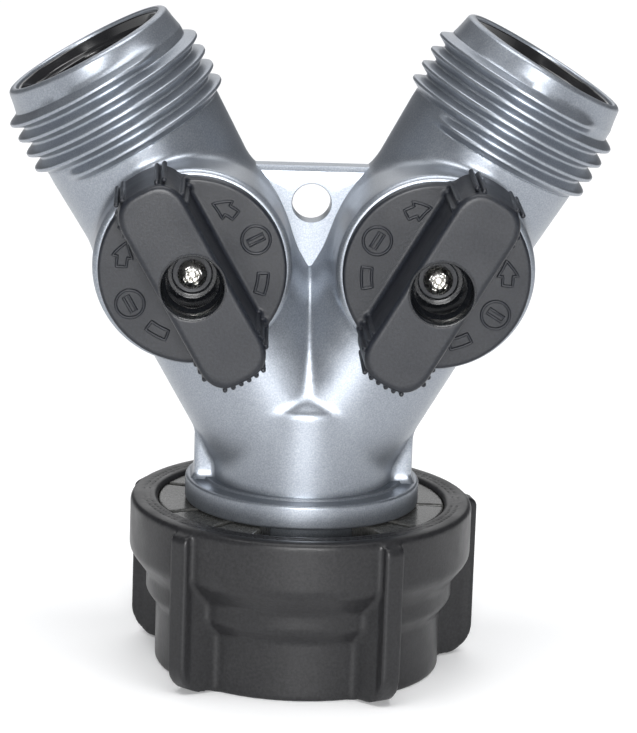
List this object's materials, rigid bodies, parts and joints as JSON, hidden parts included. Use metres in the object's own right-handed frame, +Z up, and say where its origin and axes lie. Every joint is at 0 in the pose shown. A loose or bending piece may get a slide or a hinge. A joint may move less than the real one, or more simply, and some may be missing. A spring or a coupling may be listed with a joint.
{
  "type": "garden hose splitter",
  "caption": "Metal Y splitter that feeds two garden hoses from one tap, with a lever valve on each outlet and a swivelling wing nut on the inlet.",
  "frame": {"origin": "centre of the wing nut's mouth, on its bottom face", "axes": "+Z up the inlet axis towards the outlets, outlets lean towards -X and +X, knobs face -Y"},
  "size_m": [0.0796, 0.0539, 0.088],
  "materials": {
    "silver_paint": "satin metallic",
    "black_plastic": "fine texture, satin",
    "sleeve_plastic": "glossy",
    "seat_plastic": "smooth",
    "ball_chrome": "polished",
    "stem_brass": "turned",
    "screw_steel": "plated",
    "black_rubber": "matte"
  },
  "bodies": {
    "body": {"y_body": "silver_paint", "left_outlet_sleeve": "sleeve_plastic", "right_outlet_sleeve": "sleeve_plastic", "left_sleeve_o_ring": "black_rubber", "right_sleeve_o_ring": "black_rubber", "left_upper_ball_seat": "seat_plastic", "right_upper_ball_seat": "seat_plastic", "left_lower_ball_seat": "seat_plastic", "right_lower_ball_seat": "seat_plastic"},
    "left_valve": {"left_knob": "black_plastic", "left_knob_screw": "screw_steel", "left_stem": "stem_brass", "left_stem_o_rings": "black_rubber", "left_ball": "ball_chrome"},
    "right_valve": {"right_knob": "black_plastic", "right_knob_screw": "screw_steel", "right_stem": "stem_brass", "right_stem_o_rings": "black_rubber", "right_ball": "ball_chrome"},
    "inlet_nut": {"coupling_nut": "black_plastic", "nut_snap_ring": "black_plastic", "hose_washer": "black_rubber"}
  },
  "joints": [
    {"name": "left_knob_turn", "type": "hinge", "parent": "body", "child": "left_valve", "pos_m": [-0.01555, 0, 0.05743], "axis": [0, -1, 0], "range_deg": [0, 90]},
    {"name": "right_knob_turn", "type": "hinge", "parent": "body", "child": "right_valve", "pos_m": [0.01555, 0, 0.05743], "axis": [0, -1, 0], "range_deg": [0, 90]},
    {"name": "nut_swivel", "type": "hinge", "parent": "body", "child": "inlet_nut", "pos_m": [0, 0, 0.02], "axis": [0, 0, 1], "continuous": true}
  ]
}
